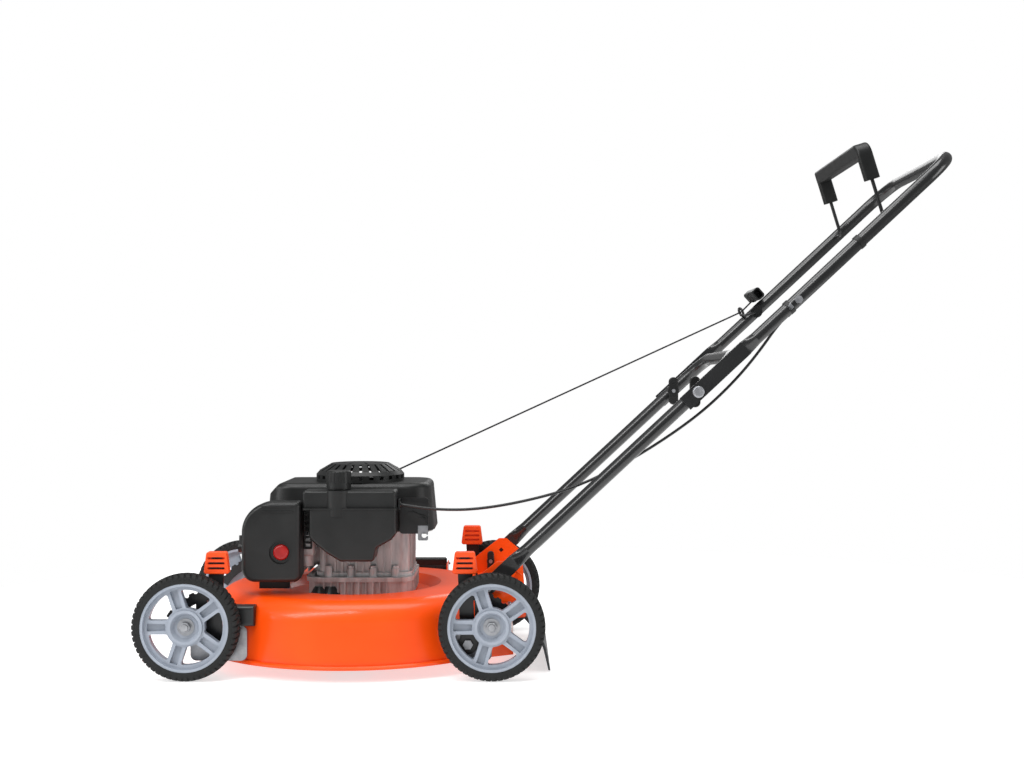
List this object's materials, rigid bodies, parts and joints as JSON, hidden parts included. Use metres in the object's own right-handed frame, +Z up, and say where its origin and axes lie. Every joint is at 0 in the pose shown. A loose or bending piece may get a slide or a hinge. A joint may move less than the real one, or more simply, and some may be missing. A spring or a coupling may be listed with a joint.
{
  "type": "rotary push mower",
  "caption": "Petrol rotary walk-behind mower with a pressed steel deck, sprung bail, folding tube handle and height levers.",
  "frame": {"origin": "on the ground under the middle of the whole machine", "axes": "+X towards the handle (rear), -X front, +Y the mower's right side, +Z up"},
  "size_m": [1.5817, 0.5758, 1.0371],
  "materials": {
    "orange_paint": "gloss powder coat over pressed steel",
    "orange_plastic": "moulded nylon",
    "black_plastic": "moulded polypropylene, fine grain",
    "black_tube": "satin black powder coat on steel tube",
    "black_steel": "black coated steel",
    "zinc_plate": "zinc plated steel",
    "cast_aluminium": "sand-textured die casting",
    "tyre_rubber": "moulded tread",
    "wheel_plastic": "grey moulded wheel",
    "red_rubber": "soft primer bulb",
    "blade_steel": "hardened steel",
    "cable_sheath": "plastic cable sheath",
    "rope_cord": "braided nylon cord",
    "grey_flap": "flexible moulded flap"
  },
  "bodies": {
    "root": {"deck_shell": "orange_paint", "wheel_brackets": "zinc_plate", "height_guides": "black_steel", "handle_brackets": "orange_paint", "deck_fasteners": "zinc_plate", "crankcase": "cast_aluminium", "sump": "cast_aluminium", "cylinder_head": "cast_aluminium", "spark_plug": "black_plastic", "blower_housing": "black_plastic", "recoil_cover": "black_plastic", "fuel_tank": "black_plastic", "air_filter_base": "black_plastic", "carburetor": "cast_aluminium", "muffler": "black_steel", "cable_bracket": "black_steel", "control_cable": "cable_sheath", "starter_rope": "rope_cord"},
    "height_arm_front_left": {"height_lever_front_left": "black_steel", "height_knob_front_left": "orange_plastic", "wheel_nut_front_left": "zinc_plate"},
    "wheel_front_left": {"tyre_front_left": "tyre_rubber", "rim_front_left": "wheel_plastic"},
    "height_arm_front_right": {"height_lever_front_right": "black_steel", "height_knob_front_right": "orange_plastic", "wheel_nut_front_right": "zinc_plate"},
    "wheel_front_right": {"tyre_front_right": "tyre_rubber", "rim_front_right": "wheel_plastic"},
    "height_arm_rear_left": {"height_lever_rear_left": "black_steel", "height_knob_rear_left": "orange_plastic", "wheel_nut_rear_left": "zinc_plate"},
    "wheel_rear_left": {"tyre_rear_left": "tyre_rubber", "rim_rear_left": "wheel_plastic"},
    "height_arm_rear_right": {"height_lever_rear_right": "black_steel", "height_knob_rear_right": "orange_plastic", "wheel_nut_rear_right": "zinc_plate"},
    "wheel_rear_right": {"tyre_rear_right": "tyre_rubber", "rim_rear_right": "wheel_plastic"},
    "lower_handle": {"lower_handle": "black_tube", "handle_joint_bolts": "zinc_plate"},
    "upper_handle": {"upper_handle": "black_tube", "upper_fasteners": "zinc_plate", "rope_guide": "black_steel"},
    "lower_wing_knob_left": {"lower_wing_knob_left": "black_plastic"},
    "lower_wing_knob_right": {"lower_wing_knob_right": "black_plastic"},
    "upper_wing_knob_left": {"upper_wing_knob_left": "black_plastic"},
    "upper_wing_knob_right": {"upper_wing_knob_right": "black_plastic"},
    "bail": {"bail_wire": "black_steel", "bail_grip": "black_plastic"},
    "brake_lever": {"brake_lever": "zinc_plate"},
    "starter_grip": {"starter_grip": "black_plastic"},
    "crank": {"crankshaft": "blade_steel", "flywheel": "black_steel", "blade_adapter": "blade_steel", "blade": "blade_steel"},
    "fuel_cap": {"fuel_cap": "black_plastic"},
    "air_filter_cover": {"air_filter_cover": "black_plastic"},
    "primer_bulb": {"primer_bulb": "red_rubber"},
    "discharge_door": {"discharge_door": "black_plastic"},
    "trailing_shield": {"trailing_shield": "grey_flap"}
  },
  "joints": [
    {"name": "height_adjust_front_left", "type": "hinge", "parent": "root", "child": "height_arm_front_left", "pos_m": [-0.6435, -0.228, 0.063], "axis": [0, -1, 0], "range_deg": [0, 50]},
    {"name": "wheel_spin_front_left", "type": "hinge", "parent": "height_arm_front_left", "child": "wheel_front_left", "pos_m": [-0.6895, -0.256, 0.1016], "axis": [0, 1, 0], "continuous": true},
    {"name": "height_adjust_front_right", "type": "hinge", "parent": "root", "child": "height_arm_front_right", "pos_m": [-0.6435, 0.228, 0.063], "axis": [0, -1, 0], "range_deg": [0, 50]},
    {"name": "wheel_spin_front_right", "type": "hinge", "parent": "height_arm_front_right", "child": "wheel_front_right", "pos_m": [-0.6895, 0.256, 0.1016], "axis": [0, 1, 0], "continuous": true},
    {"name": "height_adjust_rear_left", "type": "hinge", "parent": "root", "child": "height_arm_rear_left", "pos_m": [-0.158, -0.228, 0.063], "axis": [0, 1, 0], "range_deg": [0, 50]},
    {"name": "wheel_spin_rear_left", "type": "hinge", "parent": "height_arm_rear_left", "child": "wheel_rear_left", "pos_m": [-0.112, -0.256, 0.1016], "axis": [0, 1, 0], "continuous": true},
    {"name": "height_adjust_rear_right", "type": "hinge", "parent": "root", "child": "height_arm_rear_right", "pos_m": [-0.158, 0.228, 0.063], "axis": [0, 1, 0], "range_deg": [0, 50]},
    {"name": "wheel_spin_rear_right", "type": "hinge", "parent": "height_arm_rear_right", "child": "wheel_rear_right", "pos_m": [-0.112, 0.256, 0.1016], "axis": [0, 1, 0], "continuous": true},
    {"name": "lower_handle_fold", "type": "hinge", "parent": "root", "child": "lower_handle", "pos_m": [-0.12121, 0, 0.167], "axis": [0, 1, 0], "range_deg": [-80, 0], "deforming": ["control_cable", "starter_rope"]},
    {"name": "upper_handle_fold", "type": "hinge", "parent": "lower_handle", "child": "upper_handle", "pos_m": [0.28438, 0, 0.545], "axis": [0, -1, 0], "range_deg": [0, 125], "deforming": ["control_cable", "starter_rope"]},
    {"name": "lower_knob_turn_left", "type": "hinge", "parent": "root", "child": "lower_wing_knob_left", "pos_m": [-0.12121, -0.177, 0.167], "axis": [0, 1, 0], "continuous": true},
    {"name": "lower_knob_turn_right", "type": "hinge", "parent": "root", "child": "lower_wing_knob_right", "pos_m": [-0.12121, 0.177, 0.167], "axis": [0, 1, 0], "continuous": true},
    {"name": "upper_knob_turn_left", "type": "hinge", "parent": "lower_handle", "child": "upper_wing_knob_left", "pos_m": [0.28438, -0.172, 0.545], "axis": [0, 1, 0], "continuous": true},
    {"name": "upper_knob_turn_right", "type": "hinge", "parent": "lower_handle", "child": "upper_wing_knob_right", "pos_m": [0.28438, 0.172, 0.545], "axis": [0, 1, 0], "continuous": true},
    {"name": "bail_squeeze", "type": "hinge", "parent": "upper_handle", "child": "bail", "pos_m": [0.65457, 0, 0.89], "axis": [0, 1, 0], "range_deg": [0, 50], "stiffness_Nm_per_rad": 1.2, "springref_deg": -34.38},
    {"name": "brake_lever_turn", "type": "hinge", "parent": "root", "child": "brake_lever", "pos_m": [-0.252, -0.12625, 0.29], "axis": [0, 1, 0], "range_deg": [0, 20]},
    {"name": "starter_pull", "type": "slide", "parent": "upper_handle", "child": "starter_grip", "axis": [0.2079, 0, 0.9781], "range_m": [0, 0.5], "stiffness_N_per_m": 20, "springref_m": -0.15, "deforming": ["starter_rope"]},
    {"name": "crank_spin", "type": "hinge", "parent": "root", "child": "crank", "pos_m": [-0.39, 0, 0.2], "axis": [0, 0, 1], "continuous": true},
    {"name": "fuel_cap_lift", "type": "slide", "parent": "root", "child": "fuel_cap", "axis": [0, 0, 1], "range_m": [0, 0.035]},
    {"name": "filter_cover_open", "type": "hinge", "parent": "root", "child": "air_filter_cover", "pos_m": [-0.543, -0.152, 0.331], "axis": [-1, 0, 0], "range_deg": [0, 75]},
    {"name": "primer_press", "type": "slide", "parent": "air_filter_cover", "child": "primer_bulb", "axis": [0, 1, 0], "range_m": [0, 0.005], "stiffness_N_per_m": 300, "springref_m": -0.002},
    {"name": "discharge_door_lift", "type": "hinge", "parent": "root", "child": "discharge_door", "pos_m": [-0.3255, 0.268, 0.149], "axis": [1, 0, 0], "range_deg": [0, 60], "stiffness_Nm_per_rad": 0.3, "springref_deg": -28.65},
    {"name": "trailing_shield_swing", "type": "hinge", "parent": "root", "child": "trailing_shield", "pos_m": [-0.06, 0, 0.119], "axis": [0, -1, 0], "range_deg": [0, 60]}
  ],
  "couplings": [
    {"joint": "brake_lever_turn", "follows": "bail_squeeze", "ratio": 0.4}
  ]
}
